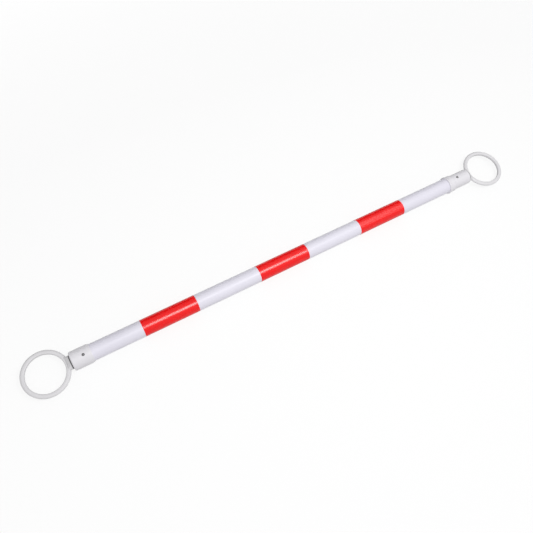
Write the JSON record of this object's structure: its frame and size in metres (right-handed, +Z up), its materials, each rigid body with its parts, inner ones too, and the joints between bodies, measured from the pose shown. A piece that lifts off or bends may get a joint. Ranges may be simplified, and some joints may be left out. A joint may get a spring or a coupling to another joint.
{
  "type": "cone bar",
  "caption": "Telescopic barrier bar with red bands on a white tube and a swivelling ring at each end that drops over the tip of a traffic cone.",
  "frame": {"origin": "middle of the closed bar, on the floor that it lies on", "axes": "+X along the bar from the fixed ring to the sliding ring, +Z up along the ring bores"},
  "size_m": [1.209, 0.097, 0.0408],
  "materials": {
    "tube_white": "smooth extruded tube",
    "film_red": "glossy retroreflective film",
    "socket_white": "satin moulding",
    "ring_white": "satin moulding",
    "bush_grey": "plain moulding",
    "lock_grey": "plain moulding",
    "black_rubber": "matt",
    "black_screw": "blackened",
    "plated_steel": "zinc plated"
  },
  "bodies": {
    "outer": {"outer_tube": "tube_white", "red_band_1": "film_red", "red_band_2": "film_red", "red_band_3": "film_red", "fixed_socket": "socket_white", "fixed_socket_screw": "black_screw", "mouth_collar": "socket_white", "guide_bush": "bush_grey"},
    "fixed_ring": {"fixed_ring": "ring_white", "fixed_friction_washer": "black_rubber", "fixed_pivot_washer": "plated_steel", "fixed_pivot_screw": "plated_steel"},
    "lock": {"lock_ring": "lock_grey"},
    "inner": {"inner_tube": "tube_white", "lock_plug": "lock_grey", "lock_washer": "plated_steel", "lock_screw": "plated_steel", "sliding_socket": "socket_white", "sliding_socket_screw": "black_screw"},
    "sliding_ring": {"sliding_ring": "ring_white", "sliding_friction_washer": "black_rubber", "sliding_pivot_washer": "plated_steel", "sliding_pivot_screw": "plated_steel"}
  },
  "joints": [
    {"name": "inner_slide", "type": "slide", "parent": "outer", "child": "lock", "axis": [1, 0, 0], "range_m": [0, 0.8]},
    {"name": "inner_twist", "type": "hinge", "parent": "lock", "child": "inner", "pos_m": [-0.44, 0, 0.01987], "axis": [1, 0, 0], "range_deg": [0, 60]},
    {"name": "fixed_ring_swivel", "type": "hinge", "parent": "outer", "child": "fixed_ring", "pos_m": [-0.5, 0, 0.01987], "axis": [1, 0, 0], "continuous": true},
    {"name": "sliding_ring_swivel", "type": "hinge", "parent": "inner", "child": "sliding_ring", "pos_m": [0.5, 0, 0.01987], "axis": [1, 0, 0], "continuous": true}
  ]
}
